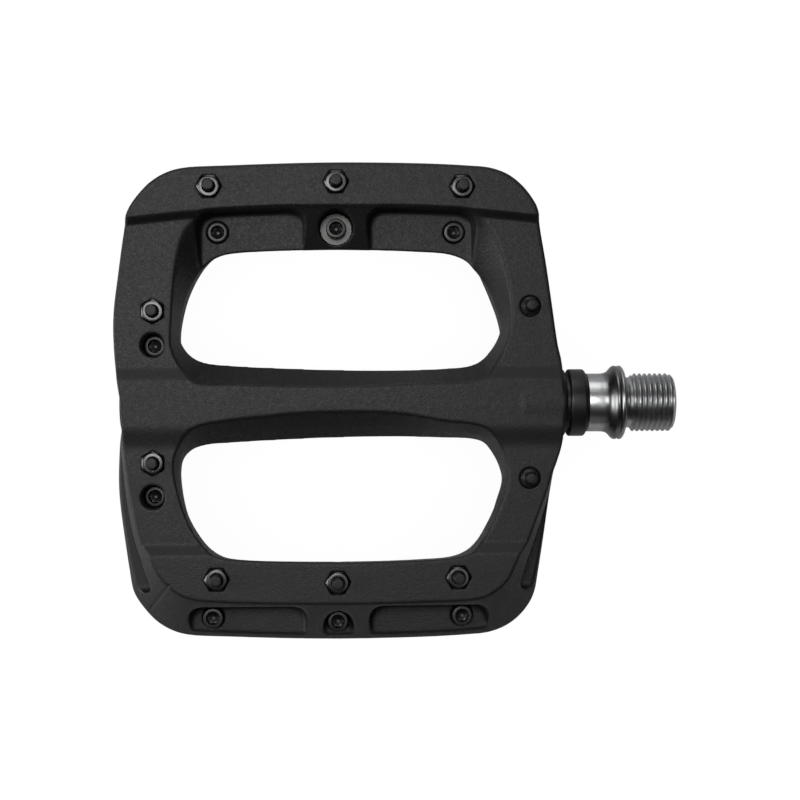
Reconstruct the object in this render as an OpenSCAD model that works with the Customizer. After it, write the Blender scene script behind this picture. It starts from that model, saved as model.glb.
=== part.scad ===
// Flat platform pedal: moulded platform with two windows, traction pins clamped
// by nuts, and a spindle that runs in a bushing and two ball bearings.
// Frame: origin on the spindle axis at the crank-side face of the spindle flange,
// +X along the spindle towards the crank, +Z out of the top tread face.
// Half a turn about X maps the pedal's platform onto itself.

/* [Platform] */
// Width of the platform along the spindle
body_w = 110; // [106:1:116]
// Length of the platform across the spindle
body_l = 116.2; // [113:0.2:122]
// Height of the front rail's tread face above the spindle axis
rail_z = 9.0; // [8.8:0.1:9.6]
// Height of the rear rail's tread face above the spindle axis
rear_z = 8.5; // [8.4:0.1:8.8]
// Height of the dished side rails above the spindle axis
dish_z = 7.1; // [6.8:0.1:7.6]
// Height of the flat on the centre tube above the spindle axis
tube_z = 8.3; // [8.1:0.1:8.6]

/* [Pins] */
// How far a pin tip stands above the tread face
pin_h = 3.7; // [2:0.1:5]
// Thread diameter of the pins
pin_d = 2.9; // [2.8:0.05:2.95]
// Length of a pin screw under its head
pin_len = 10; // [9.4:0.1:10.6]
// Height of a pin screw's head
head_h = 3; // [2:0.1:3]
// Diameter of a pin screw's head
head_d = 5; // [4.6:0.1:5.4]
// Width across the flats of a pin nut
nut_af = 5.5; // [5:0.1:5.6]
// Thickness of a pin nut
nut_h = 2.4; // [1.8:0.1:2.6]

/* [Spindle] */
// Major diameter of the crank thread
thread_d = 14.29; // [12.6:0.01:14.4]
// Length of the crank thread
thread_l = 11.7; // [11:0.1:15]
// Diameter of the flange that seats on the crank
flange_d = 18.2; // [16:0.1:19]
// Diameter of the spindle neck
neck_d = 14.3; // [13:0.1:15]
// Diameter of the bushing journal
journal_d = 10; // [9.6:0.1:10.2]
// Diameter of the ball bearing seat
seat_d = 6; // [5.8:0.1:6]
// Running clearance on radius in the bushing
run_c = 0.05; // [0.02:0.01:0.08]

/* [Hidden] */
$fn = 64;

x_in = -15;                       // crank-side face of the platform boss
kx = body_w / 110;
ky = body_l / 116.2;
function place(p) = [x_in + (p[0] - x_in) * kx, p[1] * ky];
function spread(pts) = [for (p = pts) place(p)];

// outline of the tread side: wide towards the front rail
top_outline = spread([
  [-108, 56.8], [-112.4, 55.4], [-116.4, 52.8], [-119.2, 50], [-121, 47], [-121.8, 43.5],
  [-123.4, 31], [-124.5, 22], [-124.4, 13], [-123, 0], [-122, -10], [-120.8, -18],
  [-119.4, -25.5], [-117.8, -32], [-116.2, -36], [-114.4, -40], [-111.7, -43.5],
  [-108.5, -45.8], [-105, -46.9], [-98, -47.5], [-71, -48.2], [-50, -47.9], [-37, -47.2],
  [-33.4, -45.7], [-30.2, -42.9], [-28, -38.7], [-25.4, -33], [-22.7, -26.7],
  [-20.6, -21.5], [-19.2, -17.3], [-18, -14.5], [-16.3, -9], [-16.3, 9], [-17.4, 14],
  [-18.7, 23.5], [-20, 33], [-21.4, 41.5], [-22.2, 47], [-23.6, 49.6], [-26, 52.6],
  [-29.6, 55.4], [-33.8, 56.9], [-39, 57.4], [-50, 57.9], [-71, 58.1], [-95.6, 57.4]]);
// front half of the outline at the ridge of the side walls, level with ridge_z
ridge_z = 4;
ridge_half = spread([
  [-122.9, 0], [-124.4, 8], [-124.9, 20], [-123.2, 35], [-121.5, 45], [-118.4, 50],
  [-115.4, 53.1], [-112, 55], [-108, 56.2], [-99, 56.8], [-82.5, 57.5], [-71, 57.6],
  [-50, 57.5], [-39, 57], [-33.7, 56.4], [-29.8, 55], [-26.4, 52.8], [-23.3, 49.4],
  [-20.9, 42.6], [-19.4, 33], [-18, 23], [-16.8, 15], [-16.2, 10.5], [-16, 7], [-16, 0]]);

// window between the front rail and the tube: tread side, two levels in the middle, far side
win_top = spread([
  [-104.5, 5.0], [-95, 4.6], [-82, 4.2], [-65, 4.2], [-52, 4.7], [-38, 5.2], [-34.8, 6.3],
  [-33, 8.3], [-31, 11.5], [-29.8, 14.5], [-28.8, 18], [-28.9, 24.5], [-29.8, 31],
  [-31, 37], [-33, 42], [-35, 45.5], [-38, 47], [-51.5, 47.9], [-71, 48.4], [-82, 48.4],
  [-95, 47.8], [-103, 46.8], [-106.5, 44.5], [-108.3, 41], [-109.4, 35], [-110.3, 27],
  [-110.8, 20], [-111, 14.5], [-110.2, 11.5], [-108.6, 8.6], [-106.5, 6.4]]);
win_mid = spread([
  [-103.2, 10], [-96, 9.4], [-82, 8.7], [-70.5, 8.3], [-55, 8.2], [-45, 8.5], [-38, 8.8],
  [-35, 9.7], [-33, 12], [-31.2, 15.5], [-30.5, 19], [-31.9, 24], [-33.5, 28.8],
  [-35.4, 32.4], [-37.8, 35.4], [-41, 37.6], [-51, 38.7], [-71, 39.2], [-95, 38.5],
  [-99.5, 37.6], [-102.8, 35.4], [-105.2, 31.8], [-107.4, 27], [-108.7, 21], [-109, 16],
  [-108.4, 13.3], [-106.5, 11.2]]);
win_step = spread([
  [-104.2, 8], [-96, 7], [-82, 6], [-70.5, 5.6], [-55, 5.8], [-45, 6.8], [-37.5, 7.6],
  [-34, 9], [-31.8, 12], [-30.4, 16], [-30.9, 20], [-33, 26], [-34.7, 29.7],
  [-36.9, 33.5], [-39.4, 35.9], [-43, 37.4], [-51, 38.1], [-71, 38.5], [-95, 37.8],
  [-98.8, 37], [-102, 34.9], [-104.7, 31.5], [-107, 27], [-108.6, 21.5], [-109.3, 16],
  [-108.8, 12.5], [-107, 9.8]]);
win_low = spread([
  [-105, 5.2], [-96, 3.4], [-86.6, 2.4], [-79, 1.7], [-70.5, 1.5], [-57, 1.9], [-45, 4],
  [-36, 5.4], [-32.5, 8], [-30, 12.5], [-29, 17.5], [-29.8, 21.5], [-31.2, 25],
  [-32.6, 28.4], [-34.4, 31.5], [-36.3, 34], [-39, 36.4], [-43, 37.3], [-50, 37.8],
  [-71, 38.2], [-82, 37.9], [-96.5, 37.2], [-99.7, 36.6], [-101.7, 35.6], [-103.6, 33.8],
  [-105.7, 31], [-107.4, 27.5], [-108.8, 24], [-109.8, 20.5], [-110.6, 17],
  [-110.8, 13.5], [-109.8, 10.5], [-108, 7.5]]);

// side section of the whole platform: rails, dished sides and the tube flat
half_section = [
  [62, rail_z], [44.7, rail_z], [42.5, dish_z + 0.1], [12, dish_z], [9, dish_z + 0.3],
  [5.2, tube_z], [-5.2, tube_z], [-10, dish_z], [-33.5, dish_z], [-37, rear_z], [-62, rear_z]];

// pins on the tread side
front_pins = spread([[-101.5, 52.2], [-71, 53.3], [-40.5, 52.2]]);
rear_pins = spread([[-100, -42.1], [-71, -43.1], [-42, -42.1]]);
side_pins = spread([[-115.2, 22.35], [-115.2, -14.2]]);
stud_pins = spread([[-24, 23.4], [-24.4, -18.3]]);
front_tip = rail_z + pin_h;
rear_tip = rear_z + pin_h;
side_tip = dish_z + pin_h;
washer_t = 0.5;
hex_k = 2 / sqrt(3);              // across corners per across flats

// bearings: 6 x 13 x 5, two side by side at the outboard end
bear_w = 4.95;
bear_x = [-104.6, -109.6];        // crank-side faces of the inner and outer bearing
ball_r = 1.19;
ball_pitch_r = 4.75;
ball_n = 8;

module half_turn() rotate([180, 0, 0]) children();
module along_x(x0, x1) translate([min(x0, x1), 0, 0]) rotate([0, 90, 0]) children();
module rod(x0, x1, r) along_x(x0, x1) cylinder(r = r, h = abs(x1 - x0));
module tube(x0, x1, r0, r1) difference() {
  rod(x0, x1, r1);
  rod(min(x0, x1) - 1, max(x0, x1) + 1, r0);
}
module slice(pts, z, t) translate([0, 0, z]) linear_extrude(t) polygon(pts);

module outer_shape() hull($fn = 32) {
  slice(top_outline, rail_z - 0.02, 0.02);
  slice(ridge_half, ridge_z, 0.02);
  half_turn() slice(top_outline, rail_z - 0.02, 0.02);
  half_turn() slice(ridge_half, ridge_z, 0.02);
}
module window() {
  hull($fn = 32) { slice(win_top, rail_z, 0.6); slice(win_mid, 0, 0.01); }
  hull($fn = 32) { slice(win_mid, -0.01, 0.02); slice(win_step, -3.5, 0.01); }
  hull($fn = 32) { slice(win_step, -3.51, 0.02); slice(win_low, -rail_z - 0.6, 0.6); }
}
module side_section() rotate([90, 0, 90]) translate([0, 0, -140])
  linear_extrude(140) polygon(concat(half_section, [for (p = half_section) [-p[0], -p[1]]]));

// hole for one clamped pin: clearance hole, nut pocket above and counterbore below
module pin_cut(p, tip, face, turn, cb_r, extra) translate([p[0], p[1], 0]) {
  translate([0, 0, -14]) cylinder(r = pin_d / 2 + 0.15, h = 28);
  translate([0, 0, face + 0.4 - nut_h]) rotate([0, 0, turn])
    cylinder(r = (nut_af + 0.1) / 2 * hex_k, h = 14, $fn = 6);
  translate([0, 0, tip - pin_len + extra - 20]) cylinder(r = cb_r, h = 20);
}
module tread_cuts() {
  for (i = [0:2]) pin_cut(front_pins[i], front_tip, rail_z, 0, 3.05, 0);
  for (i = [0:2]) pin_cut(rear_pins[i], rear_tip, rear_z, 0, i == 1 ? 4.3 : 3.05, i == 1 ? washer_t : 0);
  for (i = [0:1]) pin_cut(side_pins[i], side_tip, dish_z, 30, 3.05, 0);
  for (p = stud_pins) translate([p[0], p[1], 0]) {
    translate([0, 0, dish_z - 6.2]) cylinder(r = 1.55, h = 12);
    translate([0, 0, dish_z - 1]) cylinder(r = 2.45, h = 6);
  }
}
module platform() color([0.16, 0.16, 0.17]) difference() {
  union() {
    intersection() { outer_shape(); side_section(); }
    rod(-24, x_in, 8.3);
  }
  window();
  half_turn() window();
  tread_cuts();
  half_turn() tread_cuts();
  rod(-40, -14, 5.4);             // clearance behind the bushing
  rod(-31.1, -14, 6.42);          // bushing seat
  rod(-18, -14, 7.0);             // seal seat
  rod(-106, -30, 4.8);            // bore through the tube
  rod(-130, -104.5, 6.52);        // bearing seat
  rod(-130, -119.4, 7.0);         // end cap seat
}
module bushing() color([0.85, 0.78, 0.55]) tube(-31, -18.1, journal_d / 2 + run_c, 6.4);
module lip_seal() color([0.08, 0.08, 0.08]) difference() {
  rod(-17.9, -15.2, 6.96);
  rod(-19, -14, journal_d / 2 + 0.1);
  rod(-16.9, -14, 6.2);
}
module end_cap() color([0.1, 0.1, 0.1]) difference() {
  union() {
    rod(-123.2, -121.4, 6.95);
    rod(-121.5, -119.6, 5.9);
  }
  along_x(-124, -120.6) cylinder(r = 3 * hex_k, h = 3.4, $fn = 6);
}
module end_cap_oring() color([0.05, 0.05, 0.05]) translate([-120.4, 0, 0]) rotate([0, 90, 0])
  rotate_extrude() translate([6.45, 0]) circle(r = 0.48);

module race_groove(x) translate([x - bear_w / 2, 0, 0]) rotate([0, 90, 0])
  rotate_extrude() translate([ball_pitch_r, 0]) circle(r = ball_r + 0.04);
module outer_ring(x) color([0.75, 0.76, 0.78]) difference() {
  tube(x - bear_w, x, 5.4, 6.5);
  race_groove(x);
  rod(x - 0.5, x + 1, 5.75);
  rod(x - bear_w - 1, x - bear_w + 0.5, 5.75);
}
module inner_ring(x) color([0.75, 0.76, 0.78]) difference() {
  tube(x - bear_w, x, seat_d / 2, 4.1);
  race_groove(x);
}
module shields(x) color([0.1, 0.1, 0.1]) {
  tube(x - 0.4, x - 0.1, 4.2, 5.72);
  tube(x - bear_w + 0.1, x - bear_w + 0.4, 4.2, 5.72);
}
module ball_at(x, i, r) translate([x - bear_w / 2, 0, 0]) rotate([i * 360 / ball_n, 0, 0])
  translate([0, 0, ball_pitch_r]) sphere(r = r);
module balls(x) color([0.85, 0.86, 0.88]) for (i = [0:ball_n - 1]) ball_at(x, i, ball_r);
module cage(x) color([0.75, 0.65, 0.35]) difference() {
  tube(x - bear_w / 2 - 1.6, x - bear_w / 2 + 1.6, 4.35, 5.1);
  for (i = [0:ball_n - 1]) ball_at(x, i, ball_r + 0.06);
}
module inner_bearing_outer_ring() outer_ring(bear_x[0]);
module outer_bearing_outer_ring() outer_ring(bear_x[1]);
module inner_bearing_inner_ring() inner_ring(bear_x[0]);
module outer_bearing_inner_ring() inner_ring(bear_x[1]);
module inner_bearing_shields() shields(bear_x[0]);
module outer_bearing_shields() shields(bear_x[1]);
module inner_bearing_balls() balls(bear_x[0]);
module outer_bearing_balls() balls(bear_x[1]);
module inner_bearing_cage() cage(bear_x[0]);
module outer_bearing_cage() cage(bear_x[1]);

// one pin screw, head below and tip above; the hex key socket is in the head
module pin_screw(tip) color([0.2, 0.2, 0.2]) difference() {
  union() {
    translate([0, 0, tip - pin_len - head_h]) cylinder(d = head_d, h = head_h);
    translate([0, 0, tip - pin_len - 0.1]) cylinder(d = pin_d, h = pin_len - 0.3);
    translate([0, 0, tip - 0.41]) cylinder(d1 = pin_d, d2 = pin_d - 0.8, h = 0.41);
  }
  translate([0, 0, tip - pin_len - head_h - 1]) cylinder(r = 1.25 * hex_k, h = 2.6, $fn = 6);
}
module pin_nut(face, turn) color([0.3, 0.3, 0.3]) translate([0, 0, face + 0.4 - nut_h]) difference() {
  rotate([0, 0, turn]) cylinder(r = nut_af / 2 * hex_k, h = nut_h, $fn = 6);
  translate([0, 0, -1]) cylinder(r = pin_d / 2 + 0.04, h = nut_h + 2);
}
// one blind stud with a low hexagon foot
module stud() color([0.25, 0.25, 0.25]) {
  translate([0, 0, dish_z - 6]) cylinder(r = 1.5, h = 5.1);
  translate([0, 0, dish_z - 1]) cylinder(r = 2 * hex_k, h = 1.6, $fn = 6);
  translate([0, 0, dish_z + 0.5]) cylinder(r = 1.4, h = pin_h - 0.9);
  translate([0, 0, side_tip - 0.41]) cylinder(r1 = 1.4, r2 = 1.0, h = 0.41);
}
module at(pts) for (p = pts) translate([p[0], p[1], 0]) children();
module top_front_screws() at(front_pins) pin_screw(front_tip);
module top_front_nuts() at(front_pins) pin_nut(rail_z, 0);
module top_rear_screws() at(rear_pins) pin_screw(rear_tip);
module top_rear_nuts() at(rear_pins) pin_nut(rear_z, 0);
module top_side_screws() at(side_pins) pin_screw(side_tip);
module top_side_nuts() at(side_pins) pin_nut(dish_z, 30);
module top_studs() at(stud_pins) stud();
module bottom_rear_screws() half_turn() top_front_screws();
module bottom_rear_nuts() half_turn() top_front_nuts();
module bottom_front_screws() half_turn() top_rear_screws();
module bottom_front_nuts() half_turn() top_rear_nuts();
module bottom_side_screws() half_turn() top_side_screws();
module bottom_side_nuts() half_turn() top_side_nuts();
module bottom_studs() half_turn() top_studs();
module head_washer() translate([rear_pins[1][0], rear_pins[1][1], rear_tip - pin_len])
  difference() {
    cylinder(r = 4, h = washer_t);
    translate([0, 0, -1]) cylinder(r = pin_d / 2 + 0.15, h = 3);
  }
module pin_washers() color([0.65, 0.63, 0.58]) { head_washer(); half_turn() head_washer(); }

module spindle() color([0.8, 0.8, 0.82]) difference() {
  translate([0, 0, 0]) rotate([0, 90, 0]) rotate_extrude() polygon([
    [0, thread_l], [thread_d / 2 - 0.9, thread_l], [thread_d / 2, thread_l - 0.9],
    [thread_d / 2, 0], [flange_d / 2 - 0.3, 0], [flange_d / 2, -0.8], [flange_d / 2, -2.6],
    [flange_d / 2 - 0.4, -3.4], [neck_d / 2 + 0.2, -4.4], [neck_d / 2, -5.2], [neck_d / 2, -9.1],
    [6.2, -9.1], [6.2, -14.7], [journal_d / 2, -14.7], [journal_d / 2, -33],
    [4.3, -40], [3.6, -103.6], [seat_d / 2 + 0.7, -104.6], [seat_d / 2 - 0.02, -104.6],
    [seat_d / 2 - 0.02, -114.55], [2.45, -114.55], [2.45, -118.9], [2.1, -119.3], [0, -119.3]]);
  along_x(thread_l - 8, thread_l + 1) cylinder(r = 4 * hex_k, h = 9, $fn = 6);
}
module dust_collar() color([0.05, 0.05, 0.05]) rotate([0, 90, 0]) rotate_extrude() polygon([
    [6.24, -9.2], [7.0, -9.2], [7.7, -9.6], [8.25, -10.1], [8.25, -14], [8.05, -14.2],
    [6.8, -14.2], [6.8, -15.1], [6.24, -15.1]]);
module spindle_washer() color([0.8, 0.8, 0.8]) tube(-115.1, -114.6, 2.52, 4.6);
module lock_nut() color([0.8, 0.8, 0.8]) difference() {
  along_x(-118.7, -115.15) cylinder(r = 4 * hex_k, h = 3.55, $fn = 6);
  rod(-120, -114, 2.5);
}

platform();
bushing();
lip_seal();
end_cap();
end_cap_oring();
inner_bearing_outer_ring();
outer_bearing_outer_ring();
inner_bearing_shields();
outer_bearing_shields();
top_front_screws();
top_front_nuts();
top_rear_screws();
top_rear_nuts();
top_side_screws();
top_side_nuts();
top_studs();
bottom_rear_screws();
bottom_rear_nuts();
bottom_front_screws();
bottom_front_nuts();
bottom_side_screws();
bottom_side_nuts();
bottom_studs();
pin_washers();
inner_bearing_balls();
outer_bearing_balls();
inner_bearing_cage();
outer_bearing_cage();
spindle();
dust_collar();
inner_bearing_inner_ring();
outer_bearing_inner_ring();
spindle_washer();
lock_nut();
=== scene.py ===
import math

import bpy
import numpy as np
from mathutils import Matrix, Vector


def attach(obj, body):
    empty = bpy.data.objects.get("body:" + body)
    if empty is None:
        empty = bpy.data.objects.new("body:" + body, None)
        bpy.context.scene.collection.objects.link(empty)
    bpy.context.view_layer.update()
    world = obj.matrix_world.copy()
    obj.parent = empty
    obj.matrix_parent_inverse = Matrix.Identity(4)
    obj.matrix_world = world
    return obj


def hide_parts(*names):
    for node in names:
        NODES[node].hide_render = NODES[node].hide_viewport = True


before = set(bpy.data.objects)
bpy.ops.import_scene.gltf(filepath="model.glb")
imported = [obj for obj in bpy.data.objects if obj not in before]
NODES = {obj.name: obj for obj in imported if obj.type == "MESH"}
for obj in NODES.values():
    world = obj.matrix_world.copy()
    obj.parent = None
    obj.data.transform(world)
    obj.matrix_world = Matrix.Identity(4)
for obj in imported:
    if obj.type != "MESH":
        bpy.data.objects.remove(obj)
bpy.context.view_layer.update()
MM = 0.001

# ---------------------------------------------------------------- camera
CAM_POS = (-72.82, -5.78, 389.41)
AX, AY, ROLL = -0.0170, 0.0445, 0.0058


def rot_x(a):
    c, s = math.cos(a), math.sin(a)
    return np.array([[1, 0, 0], [0, c, -s], [0, s, c]])


def rot_y(a):
    c, s = math.cos(a), math.sin(a)
    return np.array([[c, 0, s], [0, 1, 0], [-s, 0, c]])


def rot_z(a):
    c, s = math.cos(a), math.sin(a)
    return np.array([[c, -s, 0], [s, c, 0], [0, 0, 1]])


R = rot_z(ROLL) @ rot_x(AX) @ rot_y(AY)
cam_data = bpy.data.cameras.new("camera")
cam_data.sensor_width = 36.0
cam_data.lens = 71.34
cam_data.clip_start = 0.01
cam_data.clip_end = 20.0
camera = bpy.data.objects.new("camera", cam_data)
bpy.context.scene.collection.objects.link(camera)
camera.matrix_world = Matrix.Translation(Vector(CAM_POS) * MM) @ Matrix(R.T.tolist()).to_4x4()
bpy.context.scene.camera = camera

# ---------------------------------------------------------------- outlines (mm)
TOP = [
    (-108, 56.8), (-112.4, 55.4), (-116.4, 52.8), (-119.2, 50), (-121, 47), (-121.8, 43.5),
    (-123.4, 31), (-124.5, 22), (-124.4, 13), (-123, 0), (-122, -10), (-120.8, -18),
    (-119.4, -25.5), (-117.8, -32), (-116.2, -36), (-114.4, -40), (-111.7, -43.5),
    (-108.5, -45.8), (-105, -46.9), (-98, -47.5), (-71, -48.2), (-50, -47.9), (-37, -47.2),
    (-33.4, -45.7), (-30.2, -42.9), (-28, -38.7), (-25.4, -33), (-22.7, -26.7),
    (-20.6, -21.5), (-19.2, -17.3), (-18, -14.5), (-16.3, -9), (-16.3, 9), (-17.4, 14),
    (-18.7, 23.5), (-20, 33), (-21.4, 41.5), (-22.2, 47), (-23.6, 49.6), (-26, 52.6),
    (-29.6, 55.4), (-33.8, 56.9), (-39, 57.4), (-50, 57.9), (-71, 58.1), (-95.6, 57.4)]
WIDE_HALF = [
    (-122.9, 0), (-123.6, 4), (-124.4, 8), (-124.8, 13), (-124.9, 20), (-124.2, 28),
    (-123.2, 35), (-122.2, 41), (-121.5, 45), (-120.4, 47.4), (-118.4, 50.2), (-115.4, 53.4),
    (-112, 55.5), (-108, 56.7), (-99, 57.3), (-82.5, 58.0), (-71, 58.2), (-50, 58.0),
    (-39, 57.5), (-33.7, 57), (-29.8, 55.7), (-26.4, 53.6), (-23.3, 50.1), (-21.9, 46.8),
    (-20.9, 42.6), (-19.4, 33), (-18, 23), (-16.8, 15), (-16.2, 10.5), (-15.9, 7), (-15.9, 0)]
WIDE = WIDE_HALF + [(x, -y) for x, y in WIDE_HALF[-2:0:-1]]
WIN_TOP = [
    (-104.5, 5.0), (-95, 4.6), (-82, 4.2), (-65, 4.2), (-52, 4.7), (-38, 5.2), (-34.8, 6.3),
    (-33, 8.3), (-31, 11.5), (-29.8, 14.5), (-28.8, 18), (-28.6, 24.5), (-29.5, 31),
    (-31, 37.3), (-33, 42.2), (-35, 44.9), (-38, 46.2), (-51.5, 47.1), (-71, 47.45), (-82, 47.35),
    (-95, 46.8), (-103, 46), (-106.4, 44.2), (-108.3, 41.4), (-109.7, 36), (-110.5, 27),
    (-110.8, 20), (-111, 14.5), (-110.2, 11.5), (-108.6, 8.6), (-106.5, 6.4)]
WIN_MID = [
    (-103.2, 10.2), (-96, 9.4), (-82, 8.7), (-70.5, 8.3), (-55, 8.2), (-45, 8.5), (-38.2, 9.2),
    (-35.3, 10.6), (-33.3, 12.7), (-31.4, 15.7), (-30.5, 19), (-31.9, 24), (-33.5, 28),
    (-35.5, 30.9), (-37.3, 33), (-39.3, 34.9), (-41.9, 36.1), (-44.8, 36.75), (-51, 37.15), (-60, 37.5),
    (-71, 37.7), (-80, 37.55), (-88, 37.3), (-95, 36.9), (-99, 36.2), (-101.6, 35.0), (-104.4, 32.3),
    (-107.4, 27), (-109, 21), (-109.2, 16), (-108, 13.4), (-106.1, 11.5)]
WIN_STEP = [
    (-104.2, 8), (-96, 7), (-82, 6), (-70.5, 5.6), (-55, 5.8), (-45, 6.8), (-37.5, 7.6),
    (-34, 9), (-31.8, 12), (-30.4, 16), (-30.9, 20), (-33, 26), (-34.7, 29.7),
    (-36.8, 33.7), (-39.2, 35.8), (-43, 37.1), (-51, 37.75), (-71, 38.3), (-95, 37.45),
    (-99, 36.8), (-102, 34.9), (-104.7, 31.5), (-107, 27), (-108.6, 21.5), (-109.3, 16),
    (-108.8, 12.5), (-107, 9.8)]
WIN_LOW = [
    (-105, 5.2), (-96, 3.4), (-86.6, 2.4), (-79, 1.7), (-70.5, 1.5), (-57, 1.9), (-45, 4),
    (-36, 5.4), (-32.5, 8), (-30, 12.5), (-29, 17.5), (-29.8, 21.5), (-31.2, 25),
    (-32.6, 28.4), (-34.3, 31.7), (-36.2, 34.6), (-38.6, 36.8), (-42.6, 38.2), (-50, 38.8),
    (-71, 39.3), (-82, 39.1), (-95, 38.4), (-99.2, 37.6), (-101.6, 36.4), (-103.7, 34.2),
    (-105.7, 31), (-107.4, 27.5), (-108.8, 24), (-109.8, 20.5), (-110.6, 17),
    (-110.8, 13.5), (-109.8, 10.5), (-108, 7.5)]
REAR_MID = [
    (-103.2, 10), (-96, 9.4), (-82, 8.7), (-70.5, 8.3), (-55, 8.2), (-45, 8.5), (-38, 8.8),
    (-35, 9.7), (-33, 12), (-31.2, 15.5), (-30.5, 19), (-31.9, 24), (-33.5, 28.8),
    (-35.4, 32.4), (-37.8, 35.4), (-41, 37.4), (-51, 38.5), (-71, 38.95), (-95, 38.3),
    (-99.5, 37.4), (-102.8, 35.2), (-105.2, 31.8), (-107.4, 27), (-108.7, 21), (-109, 16),
    (-108.4, 13.3), (-106.5, 11.2)]
REAR_STEP = [
    (-104.2, 8), (-96, 7), (-82, 6), (-70.5, 5.6), (-55, 5.8), (-45, 6.8), (-37.5, 7.6),
    (-34, 9), (-31.8, 12), (-30.4, 16), (-30.9, 20), (-33, 26), (-34.7, 29.7),
    (-36.9, 33.5), (-39.4, 35.9), (-43, 37.4), (-51, 38.1), (-71, 38.5), (-95, 37.8),
    (-98.8, 37), (-102, 34.9), (-104.7, 31.5), (-107, 27), (-108.6, 21.5), (-109.3, 16),
    (-108.8, 12.5), (-107, 9.8)]
REAR_TOP = [
    (-105, 5.2), (-96, 3.4), (-86.6, 2.4), (-79, 1.7), (-70.5, 1.5), (-57, 1.9), (-45, 4),
    (-36, 5.4), (-32.5, 8), (-30, 12.5), (-29, 17.5), (-29.8, 21.5), (-31.2, 25),
    (-32.6, 28.4), (-34.4, 31.5), (-36.3, 34), (-39, 36.4), (-43, 37.3), (-50, 37.8),
    (-71, 38.2), (-82, 37.9), (-96.5, 37.2), (-99.7, 36.6), (-101.7, 35.6), (-103.6, 33.8),
    (-105.7, 31), (-107.4, 27.5), (-108.8, 24), (-109.8, 20.5), (-110.6, 17),
    (-110.8, 13.5), (-109.8, 10.5), (-108, 7.5)]
RAIL_EDGE = [(-121.4, 44.9), (-107.8, 46.4), (-95, 47.2), (-82, 47.7), (-71, 47.85), (-55, 47.85),
             (-51.3, 47.75), (-43, 47.4), (-35.3, 46.9), (-28, 46.2), (-21.8, 45.5)]

FRONT_PINS = [(-101.5, 52.2), (-71, 53.3), (-40.5, 52.2)]
REAR_PINS = [(-100, -42.1), (-71, -43.1), (-42, -42.1)]
SIDE_PINS = [(-115.2, 22.35), (-115.2, -14.2)]
STUD_PINS = [(-24, 23.4), (-24.4, -18.3)]
RAIL_Z, REAR_Z, DISH_Z, TUBE_Z = 9.0, 8.5, 7.1, 8.3
FRONT_TIP, REAR_TIP, SIDE_TIP = 12.7, 12.2, 10.8


def catmull(pts, n=6):
    """A closed Catmull-Rom curve through the points, n samples a segment."""
    p = np.array(pts, float)
    out = []
    m = len(p)
    for i in range(m):
        p0, p1, p2, p3 = p[i - 1], p[i], p[(i + 1) % m], p[(i + 2) % m]
        d0, d1, d2 = (max(np.linalg.norm(b - a), 1e-6) ** 0.5 for a, b in ((p0, p1), (p1, p2), (p2, p3)))
        m1 = (p1 - p0) / d0 - (p2 - p0) / (d0 + d1) + (p2 - p1) / d1
        m2 = (p2 - p1) / d1 - (p3 - p1) / (d1 + d2) + (p3 - p2) / d2
        m1, m2 = m1 * d1, m2 * d1
        for k in range(n):
            t = k / n
            out.append((2 * t**3 - 3 * t**2 + 1) * p1 + (t**3 - 2 * t**2 + t) * m1
                       + (-2 * t**3 + 3 * t**2) * p2 + (t**3 - t**2) * m2)
    return np.array(out)


def poly_sdf(pts, X, Y):
    """Signed distance to a closed polygon, negative inside."""
    best = np.full(X.shape, 1e9, np.float32)
    inside = np.zeros(X.shape, bool)
    m = len(pts)
    for i in range(m):
        ax, ay = pts[i]
        bx, by = pts[(i + 1) % m]
        ex, ey = bx - ax, by - ay
        wx, wy = X - ax, Y - ay
        t = np.clip((wx * ex + wy * ey) / (ex * ex + ey * ey + 1e-12), 0, 1)
        dx, dy = wx - ex * t, wy - ey * t
        best = np.minimum(best, dx * dx + dy * dy)
        if ay != by:
            c = ((ay <= Y) & (by > Y)) | ((by <= Y) & (ay > Y))
            xc = ax + (Y - ay) * ex / ey
            inside ^= c & (X < xc)
    d = np.sqrt(best)
    return np.where(inside, -d, d).astype(np.float32)


def smax(a, b, k):
    h = np.maximum(k - np.abs(a - b), 0)
    return np.maximum(a, b) + h * h * np.float32(0.25 / k)


def smin(a, b, k):
    return -smax(-a, -b, k)


def sstep(t):
    t = np.clip(t, 0, 1)
    return t * t * (3 - 2 * t)


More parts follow.
